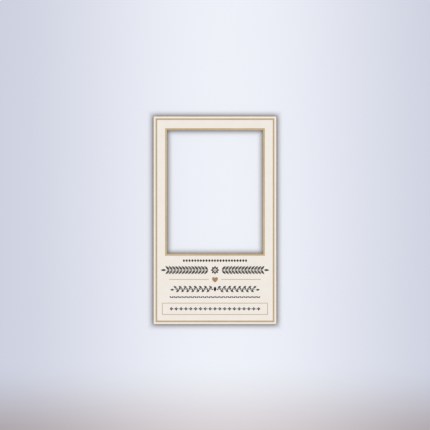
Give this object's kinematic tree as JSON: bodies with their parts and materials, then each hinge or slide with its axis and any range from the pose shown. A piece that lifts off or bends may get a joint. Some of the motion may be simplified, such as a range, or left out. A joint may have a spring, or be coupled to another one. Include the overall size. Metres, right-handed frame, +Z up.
{
  "type": "photo booth frame",
  "caption": "Tall printed foam board with a large open window to pose behind, gold edge bands, mitred gold window trim, and gold foil lines with a heart below the window.",
  "frame": {"origin": "middle of the bottom edge, on the underside of the bottom edge band", "axes": "+Z up the board, +Y out of its back, so the printed face looks along -Y, and +X to the right as seen from the front"},
  "size_m": [0.61, 0.0119, 1.031],
  "materials": {
    "foam_white": "fine white polystyrene foam",
    "liner_white": "smooth white paper liner",
    "print_cream": "satin laminated print, cream",
    "gold_band": "satin gold plastic edge band",
    "gold_trim": "satin gold anodised",
    "gold_foil": "satin gold foil tape",
    "bronze_foil": "satin bronze gold foil",
    "ink_charcoal": "matte charcoal ink"
  },
  "bodies": {
    "root": {"foam_core": "foam_white", "front_liner": "liner_white", "back_liner": "liner_white", "print_film": "print_cream", "edge_band_top": "gold_band", "edge_band_right": "gold_band", "edge_band_bottom": "gold_band", "edge_band_left": "gold_band", "window_trim_top": "gold_trim", "window_trim_right": "gold_trim", "window_trim_bottom": "gold_trim", "window_trim_left": "gold_trim", "border_foil_top": "gold_foil", "border_foil_right": "gold_foil", "border_foil_bottom": "gold_foil", "border_foil_left": "gold_foil", "divider_rule_left": "gold_foil", "divider_rule_right": "gold_foil", "heart_foil": "bronze_foil", "panel_outline": "gold_foil"}
  },
  "joints": []
}
